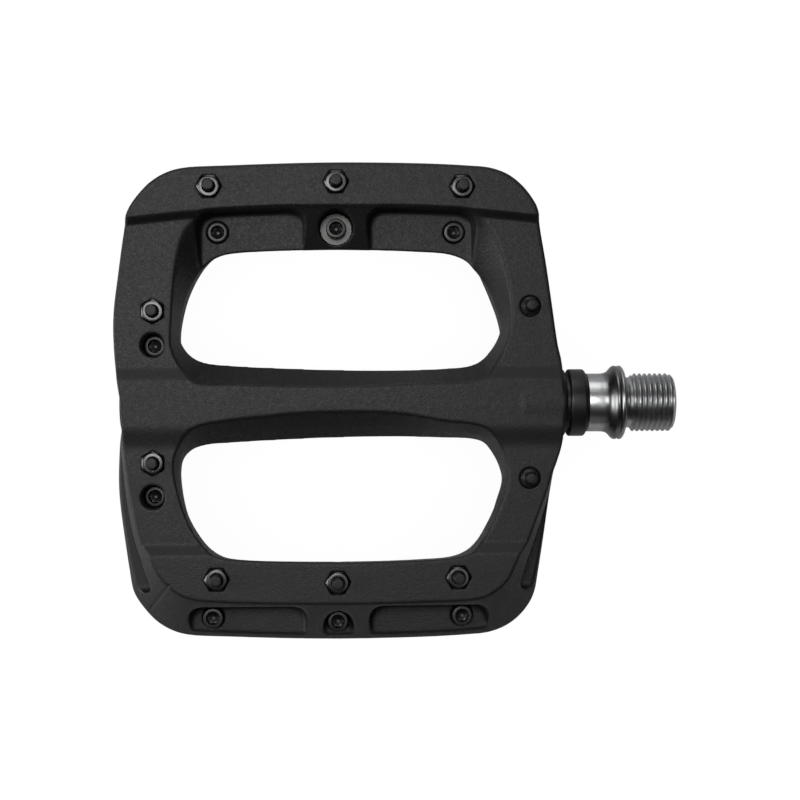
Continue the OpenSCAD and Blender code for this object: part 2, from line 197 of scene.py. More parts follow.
def surface_net(F, origin, h):
    """Vertices, quads and normals of the zero surface of a dense field (naive surface nets)."""
    nx, ny, nz = F.shape
    neg = F < 0
    cnt = np.zeros((nx - 1, ny - 1, nz - 1), np.uint8)
    corners = [(i, j, k) for i in (0, 1) for j in (0, 1) for k in (0, 1)]
    for i, j, k in corners:
        cnt += neg[i:nx - 1 + i, j:ny - 1 + j, k:nz - 1 + k]
    act = (cnt > 0) & (cnt < 8)
    ci, cj, ck = np.nonzero(act)
    ids = np.full(cnt.shape, -1, np.int32)
    ids[ci, cj, ck] = np.arange(len(ci), dtype=np.int32)
    vals = {c: F[ci + c[0], cj + c[1], ck + c[2]] for c in corners}
    pos = np.zeros((len(ci), 3))
    num = np.zeros(len(ci))
    for a in corners:
        for ax in range(3):
            if a[ax]:
                continue
            b = tuple(1 if q == ax else a[q] for q in range(3))
            va, vb = vals[a], vals[b]
            m = (va < 0) != (vb < 0)
            t = np.where(m, va / np.where(m, va - vb, 1), 0)
            for q in range(3):
                pos[:, q] += np.where(m, a[q] + (t if q == ax else 0), 0)
            num += m
    pos /= num[:, None]
    pos += np.c_[ci, cj, ck]
    quads = []
    for ax in range(3):
        sl0 = [slice(1, -1)] * 3
        sl1 = [slice(1, -1)] * 3
        sl0[ax] = slice(0, -1)
        sl1[ax] = slice(1, None)
        a, b = neg[tuple(sl0)], neg[tuple(sl1)]
        off = [1, 1, 1]
        off[ax] = 0
        ii = np.nonzero(a != b)
        e = [ii[q] + off[q] for q in range(3)]
        first_neg = a[ii]
        u, v = (ax + 1) % 3, (ax + 2) % 3

        def cell(du, dv):
            w = [e[0], e[1], e[2]]
            w[u] = w[u] - du
            w[v] = w[v] - dv
            return ids[w[0], w[1], w[2]]
        q = np.stack([cell(1, 1), cell(0, 1), cell(0, 0), cell(1, 0)], 1)
        q = np.where(first_neg[:, None], q, q[:, ::-1])
        quads.append(q)
    quads = np.concatenate(quads)
    quads = quads[(quads >= 0).all(1)]

    def sample(P):
        P = np.clip(P, 0, np.array([nx - 1.001, ny - 1.001, nz - 1.001]))
        b = P.astype(np.int64)
        f = P - b
        out = 0
        for i, j, k in corners:
            w = ((f[:, 0] if i else 1 - f[:, 0]) * (f[:, 1] if j else 1 - f[:, 1])
                 * (f[:, 2] if k else 1 - f[:, 2]))
            out = out + w * F[b[:, 0] + i, b[:, 1] + j, b[:, 2] + k]
        return out

    def grad(P, d):
        g = np.zeros((len(P), 3))
        for q in range(3):
            s = np.zeros(3)
            s[q] = d
            g[:, q] = sample(P + s) - sample(P - s)
        return g / (2 * d)
    # two Newton steps bring every vertex onto the surface
    for _ in range(2):
        g = grad(pos, 0.5)
        n2 = np.maximum((g * g).sum(1), 1e-6)
        step = -(sample(pos) / n2)[:, None] * g
        ln = np.linalg.norm(step, axis=1)
        step *= np.minimum(1, 0.35 / np.maximum(ln, 1e-9))[:, None]
        pos += step
    g = grad(pos, 0.8)
    nrm = g / np.maximum(np.linalg.norm(g, axis=1), 1e-9)[:, None]
    return pos * h + np.array(origin), quads, nrm


def new_mesh(name, verts, faces, smooth=True, angle=None, normals=None, body=None, node=None, mat=None):
    """A mesh object from mm coordinates."""
    me = bpy.data.meshes.new(name)
    if isinstance(faces, np.ndarray):
        n, k = faces.shape
        me.vertices.add(len(verts))
        me.vertices.foreach_set("co", (np.asarray(verts) * MM).astype(np.float32).ravel())
        me.loops.add(n * k)
        me.loops.foreach_set("vertex_index", faces.astype(np.int32).ravel())
        me.polygons.add(n)
        me.polygons.foreach_set("loop_start", np.arange(0, n * k, k, dtype=np.int32))
        me.update(calc_edges=True)
    else:
        me.from_pydata([tuple(float(c) * MM for c in v) for v in verts], [], faces)
        me.update()
    me.validate()
    if smooth:
        me.polygons.foreach_set("use_smooth", np.ones(len(me.polygons), bool))
        if angle:
            me.set_sharp_from_angle(angle=math.radians(angle))
    if normals is not None and len(me.vertices) == len(normals):
        me.normals_split_custom_set_from_vertices([tuple(v) for v in normals])
    ob = bpy.data.objects.new(name, me)
    bpy.context.scene.collection.objects.link(ob)
    if mat:
        me.materials.append(mat)
    if body:
        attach(ob, body)
    if node:
        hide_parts(node)
    return ob


# ---------------------------------------------------------------- materials
def mat_new(name):
    m = bpy.data.materials.new(name)
    m.use_nodes = True
    nt = m.node_tree
    b = nt.nodes["Principled BSDF"]
    return m, nt, b


def nd(nt, kind, **kw):
    n = nt.nodes.new(kind)
    for k, v in kw.items():
        if k in n.inputs:
            n.inputs[k].default_value = v
        else:
            setattr(n, k, v)
    return n


def noise(nt, scale, detail=3.0, rough=0.5, coord=None):
    tc = nt.nodes.new("ShaderNodeTexCoord")
    n = nt.nodes.new("ShaderNodeTexNoise")
    n.inputs["Scale"].default_value = scale
    n.inputs["Detail"].default_value = detail
    n.inputs["Roughness"].default_value = rough
    nt.links.new(coord or tc.outputs["Object"], n.inputs["Vector"])
    return n.outputs["Fac"]


def ramp(nt, fac, stops):
    r = nt.nodes.new("ShaderNodeValToRGB")
    el = r.color_ramp.elements
    el[0].position, el[0].color = stops[0][0], tuple(stops[0][1]) + (1,)
    el[1].position, el[1].color = stops[-1][0], tuple(stops[-1][1]) + (1,)
    for p, c in stops[1:-1]:
        e = el.new(p)
        e.color = tuple(c) + (1,)
    nt.links.new(fac, r.inputs["Fac"])
    return r.outputs["Color"]


def vmap(nt, fac, a, b, lo=0.0, hi=1.0):
    m = nt.nodes.new("ShaderNodeMapRange")
    m.inputs["From Min"].default_value = lo
    m.inputs["From Max"].default_value = hi
    m.inputs["To Min"].default_value = a
    m.inputs["To Max"].default_value = b
    nt.links.new(fac, m.inputs["Value"])
    return m.outputs["Result"]


def bump(nt, b, layers):
    """layers: (height output, distance in metres, strength)"""
    prev = None
    for height, dist, strength in layers:
        n = nt.nodes.new("ShaderNodeBump")
        n.inputs["Distance"].default_value = dist
        n.inputs["Strength"].default_value = strength
        nt.links.new(height, n.inputs["Height"])
        if prev:
            nt.links.new(prev, n.inputs["Normal"])
        prev = n.outputs["Normal"]
    nt.links.new(prev, b.inputs["Normal"])


def nylon(name, base=0.008, rough=(0.43, 0.57), spec=0.5, grain=0.0001):
    m, nt, b = mat_new(name)
    fine = noise(nt, 3200, 2.0, 0.55)
    mid = noise(nt, 1500, 2.0, 0.6)
    big = noise(nt, 45, 4.0, 0.55)
    c0, c1 = base * 0.86, base * 1.16
    mix = nt.nodes.new("ShaderNodeMath")
    mix.operation = "MULTIPLY_ADD"
    mix.inputs[1].default_value = 0.65
    nt.links.new(mid, mix.inputs[0])
    nt.links.new(vmap(nt, big, 0.0, 0.35), mix.inputs[2])
    col = ramp(nt, mix.outputs[0], [(0.3, (c0, c0, c0 * 1.25)), (0.7, (c1, c1, c1 * 1.2))])
    geo = nt.nodes.new("ShaderNodeNewGeometry")
    edge = vmap(nt, geo.outputs["Pointiness"], 0.0, 1.0, 0.55, 0.66)
    worn = nt.nodes.new("ShaderNodeMixRGB")
    worn.blend_type = "MIX"
    worn.inputs["Color2"].default_value = (base * 2.6, base * 2.6, base * 2.6, 1)
    nt.links.new(edge, worn.inputs["Fac"])
    nt.links.new(col, worn.inputs["Color1"])
    nt.links.new(worn.outputs["Color"], b.inputs["Base Color"])
    nt.links.new(vmap(nt, mid, rough[0], rough[1], 0.32, 0.68), b.inputs["Roughness"])
    b.inputs["Specular IOR Level"].default_value = spec
    bump(nt, b, [(fine, grain, 0.8), (mid, grain * 0.9, 0.5)])
    return m


def metal(name, base, rough=(0.25, 0.38), turn=None, tint=(1, 1, 1), metallic=1.0, grime=0.35, speck=0.00001):
    """turn: direction letter of the axis the piece was turned about, for fine tool rings."""
    m, nt, b = mat_new(name)
    tc = nt.nodes.new("ShaderNodeTexCoord")
    big = noise(nt, 160, 4.0, 0.6)
    fine = noise(nt, 5000, 2.0, 0.5)
    lo = [base * c * (1 - grime) for c in tint]
    hi = [base * c for c in tint]
    nt.links.new(ramp(nt, big, [(0.28, lo), (0.5, hi), (1.0, [min(1, v * 1.06) for v in hi])]), b.inputs["Base Color"])
    b.inputs["Metallic"].default_value = metallic
    nt.links.new(vmap(nt, big, rough[0], rough[1], 0.3, 0.75), b.inputs["Roughness"])
    layers = [(fine, speck, 0.5)]
    if turn:
        mp = nt.nodes.new("ShaderNodeMapping")
        sc = {"x": (9000, 90, 90), "z": (90, 90, 9000)}[turn]
        mp.inputs["Scale"].default_value = sc
        nt.links.new(tc.outputs["Object"], mp.inputs["Vector"])
        rings = noise(nt, 1.0, 2.0, 0.5, mp.outputs["Vector"])
        layers.append((rings, 0.000006, 0.5))
    bump(nt, b, layers)
    return m


def rubber(name, base=0.016, rough=(0.42, 0.55), spec=0.4, tint=(1, 1, 1)):
    m, nt, b = mat_new(name)
    mid = noise(nt, 1400, 3.0, 0.6)
    big = noise(nt, 120, 3.0, 0.6)
    lo = [base * 0.8 * c for c in tint]
    hi = [base * 1.3 * c for c in tint]
    nt.links.new(ramp(nt, big, [(0.3, lo), (0.72, hi)]), b.inputs["Base Color"])
    nt.links.new(vmap(nt, big, rough[0], rough[1], 0.3, 0.7), b.inputs["Roughness"])
    b.inputs["Specular IOR Level"].default_value = spec
    bump(nt, b, [(mid, 0.00002, 0.5)])
    return m


def tip_finish(mat, z0, z1, dark, rougher):
    """The part of a pin beyond z0 of the centre plane is duller than its head."""
    nt = mat.node_tree
    b = next(n for n in nt.nodes if n.type == "BSDF_PRINCIPLED")
    tc = nt.nodes.new("ShaderNodeTexCoord")
    sx = nt.nodes.new("ShaderNodeSeparateXYZ")
    nt.links.new(tc.outputs["Object"], sx.inputs["Vector"])
    ab = nt.nodes.new("ShaderNodeMath")
    ab.operation = "ABSOLUTE"
    nt.links.new(sx.outputs["Z"], ab.inputs[0])
    f = vmap(nt, ab.outputs[0], 1.0, dark, z0, z1)
    g = vmap(nt, ab.outputs[0], 0.0, rougher, z0, z1)
    for key, fac, op in (("Base Color", f, "MULTIPLY"), ("Roughness", g, "ADD")):
        sock = b.inputs[key]
        vm = nt.nodes.new("ShaderNodeVectorMath" if key == "Base Color" else "ShaderNodeMath")
        vm.operation = op
        if sock.is_linked:
            nt.links.new(sock.links[0].from_socket, vm.inputs[0])
        elif key == "Base Color":
            vm.inputs[0].default_value = tuple(sock.default_value)[:3]
        else:
            vm.inputs[0].default_value = sock.default_value
        nt.links.new(fac, vm.inputs[1])
        nt.links.new(vm.outputs[0], sock)


def flange_painted_shade(mat):
    """Painted shade: the base colour is darkened over the flange and its fillet, which dims the key light's highlights
    there; the thread is a touch darker than the neck too.
    """
    nt = mat.node_tree
    b = next(n for n in nt.nodes if n.type == "BSDF_PRINCIPLED")
    tc = nt.nodes.new("ShaderNodeTexCoord")
    sx = nt.nodes.new("ShaderNodeSeparateXYZ")
    nt.links.new(tc.outputs["Object"], sx.inputs["Vector"])
    # painted shade along X: the factor drops to about a third over the fillet and flange
    f = ramp(nt, vmap(nt, sx.outputs["X"], 0.0, 1.0, -7 * MM, 1 * MM),
             [(0.0, (0.84,) * 3), (0.13, (0.7,) * 3), (0.22, (0.36,) * 3), (0.58, (0.34,) * 3), (0.7, (0.7,) * 3), (0.9, (0.8,) * 3)])
    mul = nt.nodes.new("ShaderNodeVectorMath")
    mul.operation = "MULTIPLY"
    nt.links.new(b.inputs["Base Color"].links[0].from_socket, mul.inputs[0])
    nt.links.new(f, mul.inputs[1])
    nt.links.new(mul.outputs[0], b.inputs["Base Color"])


M = {
    "nylon": nylon("nylon_black"),
    "cap": nylon("cap_plastic", base=0.008, rough=(0.36, 0.46), grain=0.00002),
    "seal": rubber("seal_rubber"),
    "collar": rubber("collar_rubber", base=0.009, rough=(0.34, 0.44), spec=0.5),
    "bushing": rubber("bushing_polymer", base=0.5, rough=(0.4, 0.5), tint=(1.0, 0.8, 0.42)),
    "bearing": metal("bearing_steel", 0.72, (0.12, 0.22), turn="x", grime=0.1),
    "ball": metal("ball_steel", 0.78, (0.05, 0.1), grime=0.05),
    "cage": metal("cage_metal", 0.62, (0.25, 0.4), tint=(1.0, 0.8, 0.42), grime=0.2),
    "washer": metal("washer_steel", 0.05, (0.24, 0.32), turn="z", tint=(1.0, 0.98, 0.94), grime=0.3),
    "pin": metal("pin_steel", 0.05, (0.32, 0.44), tint=(1.0, 1.0, 1.0), metallic=0.85, grime=0.3),
    "nut": metal("pin_nut_steel", 0.07, (0.24, 0.32), turn="z", metallic=1.0, grime=0.25, speck=0.000005),
    "spindle": metal("spindle_steel", 0.62, (0.27, 0.34), turn="x", tint=(0.99, 1.0, 1.01), grime=0.08, speck=0.000004),
    "locknut": metal("nut_steel", 0.5, (0.3, 0.42), grime=0.2),
}
flange_painted_shade(M["spindle"])
tip_finish(M["pin"], 7.5 * MM, 8.5 * MM, 0.7, 0.12)

# ---------------------------------------------------------------- platform
H = 0.3


def rng(lo, hi):
    n = int(math.ceil((hi - lo) / H)) + 1
    return (lo + H * np.arange(n)).astype(np.float32)


def centred(half):
    n = int(math.ceil(half / H))
    return (H * (np.arange(2 * n) - n + 0.5)).astype(np.float32)


gx, gy, gz = rng(-127.0, -13.2), centred(60.0), centred(10.6)
X2, Y2 = np.meshgrid(gx, gy, indexing="ij")
Z = gz[None, None, :]
YY = gy[None, :, None]
XX = gx[:, None, None]
Y2R = np.broadcast_to(gy[None, :], X2.shape)

dT = poly_sdf(catmull(TOP), X2, Y2)
dW = poly_sdf(catmull(WIDE, 4), X2, Y2)
wT = poly_sdf(catmull(WIN_TOP), X2, Y2)
re = np.array(RAIL_EDGE)
edge1 = np.interp(gx, re[:, 0], re[:, 1]).astype(np.float32)
E = edge1[:, None]

# tread height
zt = np.full(X2.shape, DISH_Z, np.float32)
zt += (RAIL_Z - DISH_Z) * sstep((Y2 - (E - 2.2)) / 2.2)
tube = np.where(Y2 > 0, 1 - sstep((Y2 - 5.1) / 4.2), 1 - sstep((-5.0 - Y2) / 6.2))
zt += (TUBE_Z - DISH_Z) * tube
zt += (REAR_Z - DISH_Z) * sstep((-33.4 - Y2) / 3.3)
gzx, gzy = np.gradient(zt, H)
slope = np.sqrt(1 + gzx**2 + gzy**2).astype(np.float32)

# outer wall: leans from the tread outline to the wide outline
t = np.clip((8.5 - Z) / 12.5, 0, 1).astype(np.float32)
A = dT[:, :, None] * (1 - t) + dW[:, :, None] * t
lean = np.float32(0.86)
crease = ((X2 + 111.46) * 0.77 - (Y2 + 43.44) * 0.64)[:, :, None]
A = A + 0.5 * np.exp(-(crease / 0.32) ** 2) * (sstep((-34 - Y2) / 5) * sstep((-96 - X2) / 6))[:, :, None] * sstep((Z + 3) / 2.5)
A = A.astype(np.float32)
edge_k = (0.45 + 0.35 * sstep((Y2 + 10) / 30))[:, :, None].astype(np.float32)
F = smax(A * lean, (Z - zt[:, :, None]) / slope[:, :, None], edge_k)

# windows: the rear one is the front one after half a turn about X, with its walls drafted a little further back
za, zb, zd = 7.5, 0.4, -9.0
zc = (-3.5 + 1.7 * sstep((Y2 - 25) / 8))[:, :, None].astype(np.float32)
ta = np.clip((za - Z) / (za - zb), 0, 1)
tb = np.clip((zb - Z) / (zb - zc), 0, 1)
tc_ = np.clip((zc - Z) / (zc - zd), 0, 1)


def window(mid, step, low):
    w0, w1, wL = [poly_sdf(catmull(c), X2, Y2)[:, :, None] for c in (mid, step, low)]
    return (wT[:, :, None] * (1 - ta) + w0 * (ta - tb) + w1 * (tb - tc_) + wL * tc_).astype(np.float32) * np.float32(0.9)



def block(x0, x1, y0, y1):
    i0, i1 = np.searchsorted(gx, [x0, x1])
    j0, j1 = np.searchsorted(gy, [y0, y1])
    return slice(i0, i1), slice(j0, j1)


def carve(x0, x1, y0, y1, fn, k):
    """Subtracts the shape fn(x, y, z) inside a block."""
    si, sj = block(x0, x1, y0, y1)
    x, y = gx[si][:, None, None], gy[sj][None, :, None]
    c = fn(x, y, Z).astype(np.float32)
    F[si, sj] = smax(F[si, sj], -c, k)


def bore(px, py, r, z0, k=0.3, r_top=None, z_top=None):
    """A round hole down to z0, with a chamfered mouth."""
    def fn(x, y, z):
        d = np.hypot(x - px, y - py) - r
        if r_top is not None:
            d = np.minimum(d, (np.hypot(x - px, y - py) - r - (z - z_top) - (r_top - r)) * 0.7)
        return smax(d, z0 - z, 0.25)
    carve(px - r - 3, px + r + 3, py - r - 3, py + r + 3, fn, k)


def hexagon(px, py, af, z0, turn, k=0.25):
    def fn(x, y, z):
        d = None
        for i in range(3):
            a = math.radians(turn + 30 + 60 * i)
            q = np.abs((x - px) * math.cos(a) + (y - py) * math.sin(a)) - af / 2
            d = q if d is None else np.maximum(d, q)
        return np.maximum(d, z0 - z)
    carve(px - 6, px + 6, py - 6, py + 6, fn, k)


# lightening pockets of the front rail, open to the window
for x0, x1 in ((-105.6, -77.8), (-64.1, -36.4)):
    def pocket(x, y, z, x0=x0, x1=x1):
        e = np.interp(x.ravel(), re[:, 0], re[:, 1]).reshape(x.shape)
        side = np.abs(x - (x0 + x1) / 2) - (x1 - x0) / 2 + 0.15 * (9 - z)
        back = y - (e - 0.2) + 0.05 * (9 - z)
        return smax(smax(side, back, 4.4), 0.35 - z, 1.1)
    carve(x0 - 3, x1 + 3, 32, 51, pocket, 0.35)
bore(REAR_PINS[1][0], -REAR_PINS[1][1], 4.25, -2.7)
for i in (0, 2):
    bore(REAR_PINS[i][0], -REAR_PINS[i][1], 2.62, -2.2)

# pockets in the outer wall of the rear rail
for x0, x1, back, rk, floor in ((-107.7, -78.2, -48.7, 4.6, -2.1), (-63.6, -33.7, -48.7, 4.6, -2.1),
                                (-75.1, -66.6, -49.8, 6.0, -2.1)):
    def pocket(x, y, z, x0=x0, x1=x1, back=back, rk=rk, floor=floor):
        side = np.abs(x - (x0 + x1) / 2) - (x1 - x0) / 2 + 0.1 * (4 - z)
        d = smax(side, y - back + 0.04 * (9 - z), rk)
        return smax(d, floor - z, 1.3)
    carve(x0 - 3, x1 + 3, -60, -45, pocket, 0.5)
for p in FRONT_PINS:
    bore(p[0], -p[1], 2.64, -2.7)

# scallops in the lower half of both sides
si, sj = block(-127, -13, -52, 3)
for left in (True, False):
    x, y = gx[si][:, None, None], gy[sj][None, :, None]
    d = dT[si, sj][:, :, None]
    start = -5.0 if left else -22.0
    w = np.interp(-y.ravel(), [5, 9, 23, 33, 38, 42, 46], [1.1, 1.45, 2.1, 2.45, 2.75, 3.3, 4.3]).reshape(y.shape)
    c = smax(w - d + 0 * Z, (-1.7 - 0.05 * (d - 0.6)) - Z, 0.5)
    c = smax(c, (y - start) * 0.5 + 0 * Z, 1.0)
    c = smax(c, -46.0 - y + 0.1 * (Z + 2), 2.2)
    c = np.maximum(c, (x + 71 if left else -71 - x) + 0 * Z)
    F[si, sj] = smax(F[si, sj], -c.astype(np.float32), 0.45)

# nut pockets and counterbores
for p in FRONT_PINS:
    hexagon(p[0], p[1], 5.32, RAIL_Z - 2.1, 0, 0.15)
for p in REAR_PINS:
    hexagon(p[0], p[1], 5.32, REAR_Z - 2.1, 0, 0.15)
for p in SIDE_PINS:
    hexagon(p[0], p[1], 5.32, DISH_Z - 2.1, 30, 0.15)
    bore(p[0], -p[1], 2.85, -0.8, r_top=3.1, z_top=DISH_Z)
for p in STUD_PINS:
    bore(p[0], p[1], 2.5, DISH_Z - 1.0)
for pts in (FRONT_PINS, REAR_PINS, SIDE_PINS):
    for px, py in pts:
        bore(px, py, 1.62, -20)

# the other side is the same shape after half a turn about X
F = smax(F, F[:, ::-1, ::-1], 0.35)
F = smax(F, -window(WIN_MID, WIN_STEP, WIN_LOW), 0.6)
F = smax(F, -window(REAR_MID, REAR_STEP, REAR_TOP)[:, ::-1, ::-1], 0.6)
del ta, tb, tc_, A

# boss at the crank side, bore, bearing seats
RHO = np.hypot(YY, Z).astype(np.float32)
boss = smax(RHO - 8.3, smax(XX + 15.0, -26.0 - XX, 0.4), 0.9) + 0 * XX
F = smin(F, boss.astype(np.float32), 0.8)
for x0, x1, r in ((-40, 0, 5.4), (-31.1, 0, 6.42), (-18, 0, 7.0), (-106, -30, 4.8), (-140, -104.5, 6.52),
                  (-140, -119.4, 7.02)):
    c = np.maximum(RHO - r, np.abs(XX - (x0 + x1) / 2) - (x1 - x0) / 2)
    F = smax(F, -c.astype(np.float32), 0.25)

F[0], F[-1] = np.maximum(F[0], 0.2), np.maximum(F[-1], 0.2)
v, q, n = surface_net(F, (gx[0], gy[0], gz[0]), H)
del F
platform = new_mesh("platform_shell", v, q, normals=n, body="platform", node="platform", mat=M["nylon"])


# ---------------------------------------------------------------- turned and hexagonal pieces
class Build:
    """Rings of points joined into skins, and capped."""

    def __init__(self):
        self.v, self.f = [], []

    def ring(self, pts):
        i = len(self.v)
        self.v.extend([tuple(p) for p in pts])
        return list(range(i, i + len(pts)))

    def skin(self, a, b, flip=False):
        m = len(a)
        for i in range(m):
            j = (i + 1) % m
            f = (a[i], a[j], b[j], b[i])
            f = tuple(dict.fromkeys(f))
            if len(f) > 2:
                self.f.append(f[::-1] if flip else f)

    def fan(self, a, p, flip=False):
        i = len(self.v)
        self.v.append(tuple(p))
        m = len(a)
        for k in range(m):
            f = (a[k], a[(k + 1) % m], i)
            self.f.append(f[::-1] if flip else f)


def hex_r(a, af, turn=0.0):
    """Radius of a hexagon of that width across flats at angle a."""
    w = (a - math.radians(turn)) % (math.pi / 3) - math.pi / 6
    return af / 2 / math.cos(w)


def angles(m):
    return [2 * math.pi * i / m for i in range(m)]


def placed(verts, x, y, flip):
    """Turns a piece built about Z on the tread side to where it goes; flip is the half turn about X."""
    out = []
    for a, b, c in verts:
        p = (a + x, b + y, c)
        out.append((p[0], -p[1], -p[2]) if flip else p)
    return out


def merge(name, parts, body, node, mat, angle=32):
    """parts: (Build, x, y, flip)"""
    vs, fs = [], []
    for b, x, y, flip in parts:
        o = len(vs)
        vs.extend(placed(b.v, x, y, flip))
        fs.extend([tuple(i + o for i in f) for f in b.f])
    return new_mesh(name, vs, fs, angle=angle, body=body, node=node, mat=mat)


def nut(face, turn):
    """Chamfered hexagon nut with a bright flat ring on top."""
    af, top, bot = 5.18, face + 0.45, face + 0.45 - 2.4
    m = 72
    an = angles(m)
    b = Build()
    k = math.tan(math.radians(25))

    def circ(r, z):
        return [(r * math.cos(a), r * math.sin(a), z) for a in an]

    def edge(z, sgn, inset):
        out = []
        for a in an:
            r = hex_r(a, af, turn)
            zz = z - sgn * k * max(0.0, r - 2.38) - sgn * inset
            out.append((r * math.cos(a), r * math.sin(a), zz))
        return out
    rings = [circ(1.49, bot + 0.25), circ(1.49, top - 0.3), circ(1.62, top - 0.12), circ(1.67, top - 0.04), circ(1.7, top),
             circ(2.34, top), circ(2.38, top - 0.01), circ(2.42, top - 0.04), edge(top, 1, 0.05), edge(bot, -1, 0.06),
             circ(2.42, bot), circ(1.75, bot)]
    ids = [b.ring(r) for r in rings]
    for a, c in zip(ids, ids[1:]):
        b.skin(a, c, flip=True)
    b.skin(ids[-1], ids[0], flip=True)
    return b


def helix_skin(b, pitch, x0, x1, prof, env, m, rows, hand):
    """A thread about Z from x0 to x1. prof gives the radius at a phase 0..1, env caps it at a height. Returns the two end rings."""
    u0, u1 = x0 - pitch, x1 + pitch
    n = int(math.ceil((u1 - u0) / pitch)) * rows
    grid = {}
    cache = {}
    for j in range(m):
        for i in range(n + 1):
            u = u0 + pitch * i / rows
            z = u + hand * pitch * (j / m)
            ph = (i % rows) / rows
            lo, hi = z <= x0, z >= x1
            key = ("lo", j) if lo else ("hi", j) if hi else (i, j)
            if key not in cache:
                zc = min(max(z, x0), x1)
                r = min(prof(ph), env(zc))
                if lo:
                    r = env(x0)
                if hi:
                    r = env(x1)
                a = 2 * math.pi * j / m
                cache[key] = len(b.v)
                b.v.append((r * math.cos(a), r * math.sin(a), zc))
            grid[i, j] = cache[key]
    for j in range(m):
        for i in range(n):
            if j < m - 1:
                q = (grid[i, j], grid[i, j + 1], grid[i + 1, j + 1], grid[i + 1, j])
            else:
                s = i + hand * rows
                if s < 0 or s + 1 > n:
                    # past the end of the thread everything is on the end ring
                    g0 = cache["lo", 0] if s < 0 else cache["hi", 0]
                    q = (grid[i, j], g0, g0, grid[i + 1, j])
                else:
                    q = (grid[i, j], grid[s, 0], grid[s + 1, 0], grid[i + 1, j])
            q = tuple(dict.fromkeys(q))
            if len(q) > 2:
                b.f.append(q)
    return [cache["lo", j] for j in range(m)], [cache["hi", j] for j in range(m)]


def vee(r_out, depth, crest=0.14, root=0.2):
    def prof(ph):
        if ph < crest:
            return r_out
        if ph < 0.5 + (crest - root) / 2:
            t = (ph - crest) / (0.5 + (crest - root) / 2 - crest)
            return r_out - depth * t
        if ph < 0.5 + (crest + root) / 2:
            return r_out - depth
        t = (ph - 0.5 - (crest + root) / 2) / (1 - 0.5 - (crest + root) / 2)
        return r_out - depth * (1 - t)
    return prof


def screw(tip):
    """Socket head pin screw with its thread at the tip; head down."""
    b = Build()
    m = 36
    an = angles(m)
    zt0, zu, zh = tip - 6.5, tip - 10.0, tip - 13.0

    def circ(r, z):
        return [(r * math.cos(a), r * math.sin(a), z) for a in an]

    def env(z):
        return min(1.45, 1.17 + math.sqrt(max(0.0, 1.0 - (1.0 - min(1.0, (tip - z) / 0.35)) ** 2)) * 0.3, 1.2 + max(0, z - zt0) * 1.5)
    lo, hi = helix_skin(b, 0.5, zt0, tip, vee(1.45, 0.24), env, m, 6, 1)
    crown = b.ring(circ(0.95, tip + 0.02))
    b.skin(hi, crown)
    crown2 = b.ring(circ(0.5, tip + 0.03))
    b.skin(crown, crown2)
    b.fan(crown2, (0, 0, tip + 0.035))
    # shank and underside of the head
    neck = b.ring(circ(1.25, zu + 0.15))
    b.skin(neck, lo)
    u1 = b.ring(circ(1.45, zu))
    b.skin(u1, neck)
    M2 = 72
    a2 = angles(M2)

    # the head has its own finer rings: knurled side, chamfered rim, hexagon socket
    def ring2(f, z):
        return [(f(a) * math.cos(a), f(a) * math.sin(a), z) for a in a2]
    kn = lambda a: 2.47 - 0.07 * (0.5 - 0.5 * math.cos(a * 36)) - (0.03 if int(round(a / (2 * math.pi) * 72)) % 2 else 0)
    rings = [ring2(lambda a: 1.3, zu), ring2(lambda a: 2.25, zu), ring2(lambda a: 2.38, zu - 0.12), ring2(kn, zu - 0.3),
             ring2(kn, zh + 0.5), ring2(lambda a: 2.44, zh + 0.36), ring2(lambda a: 2.42, zh + 0.12),
             ring2(lambda a: 2.36, zh + 0.03), ring2(lambda a: 2.28, zh),
             ring2(lambda a: 1.72, zh), ring2(lambda a: 1.66, zh + 0.05),
             ring2(lambda a: hex_r(a, 2.78), zh + 0.3), ring2(lambda a: hex_r(a, 2.7), zh + 0.42), ring2(lambda a: hex_r(a, 2.66), zh + 2.1),
             ring2(lambda a: 1.2, zh + 2.14), ring2(lambda a: 0.55, zh + 2.5), ring2(lambda a: 0.42, zh + 2.55), ring2(lambda a: 0.2, zh + 2.58)]
    ids = [b.ring(r) for r in rings]
    for p, c in zip(ids, ids[1:]):
        b.skin(p, c, flip=True)
    b.fan(ids[-1], (0, 0, zh + 2.585), flip=True)
    b.fan(ids[0], (0, 0, zu))
    return b


def stud(face):
    b = Build()
    m = 48
    an = angles(m)

    def circ(r, z):
        return [(r * math.cos(a), r * math.sin(a), z) for a in an]

    def hx(af, z, cut=0.0):
        return [(min(hex_r(a, af), af / 2 * 1.155 - cut) * math.cos(a), min(hex_r(a, af), af / 2 * 1.155 - cut) * math.sin(a), z) for a in an]
    tip = face + 3.7
    rings = [circ(0.9, tip), circ(1.12, tip - 0.05), circ(1.36, tip - 0.36), circ(1.4, tip - 0.5), circ(1.4, face + 0.95), circ(1.46, face + 0.78),
             circ(1.6, face + 0.66), circ(1.86, face + 0.6), hx(4.0, face + 0.44, 0.0), hx(4.0, face - 0.98), circ(1.5, face - 1.0), circ(1.5, face - 6.0)]
    ids = [b.ring(r) for r in rings]
    for p, c in zip(ids, ids[1:]):
        b.skin(p, c, flip=False)
    b.f = [f[::-1] for f in b.f]
    b.fan(ids[0], (0, 0, tip))
    b.fan(ids[-1], (0, 0, face - 6.0), flip=True)
    return b


def washer(z0, t_, r0, r1):
    b = Build()
    an = angles(72)

    def circ(r, z):
        return [(r * math.cos(a), r * math.sin(a), z) for a in an]
    rings = [circ(r0, z0 + 0.06), circ(r0, z0 + t_ - 0.06), circ(r0 + 0.06, z0 + t_), circ(r1 - 0.14, z0 + t_), circ(r1 - 0.04, z0 + t_ - 0.05),
             circ(r1, z0 + t_ - 0.14), circ(r1, z0 + 0.03), circ(r1 - 0.03, z0), circ(r0 + 0.06, z0)]
    ids = [b.ring(r) for r in rings]
    for p, c in zip(ids, ids[1:] + ids[:1]):
        b.skin(p, c, flip=True)
    return b


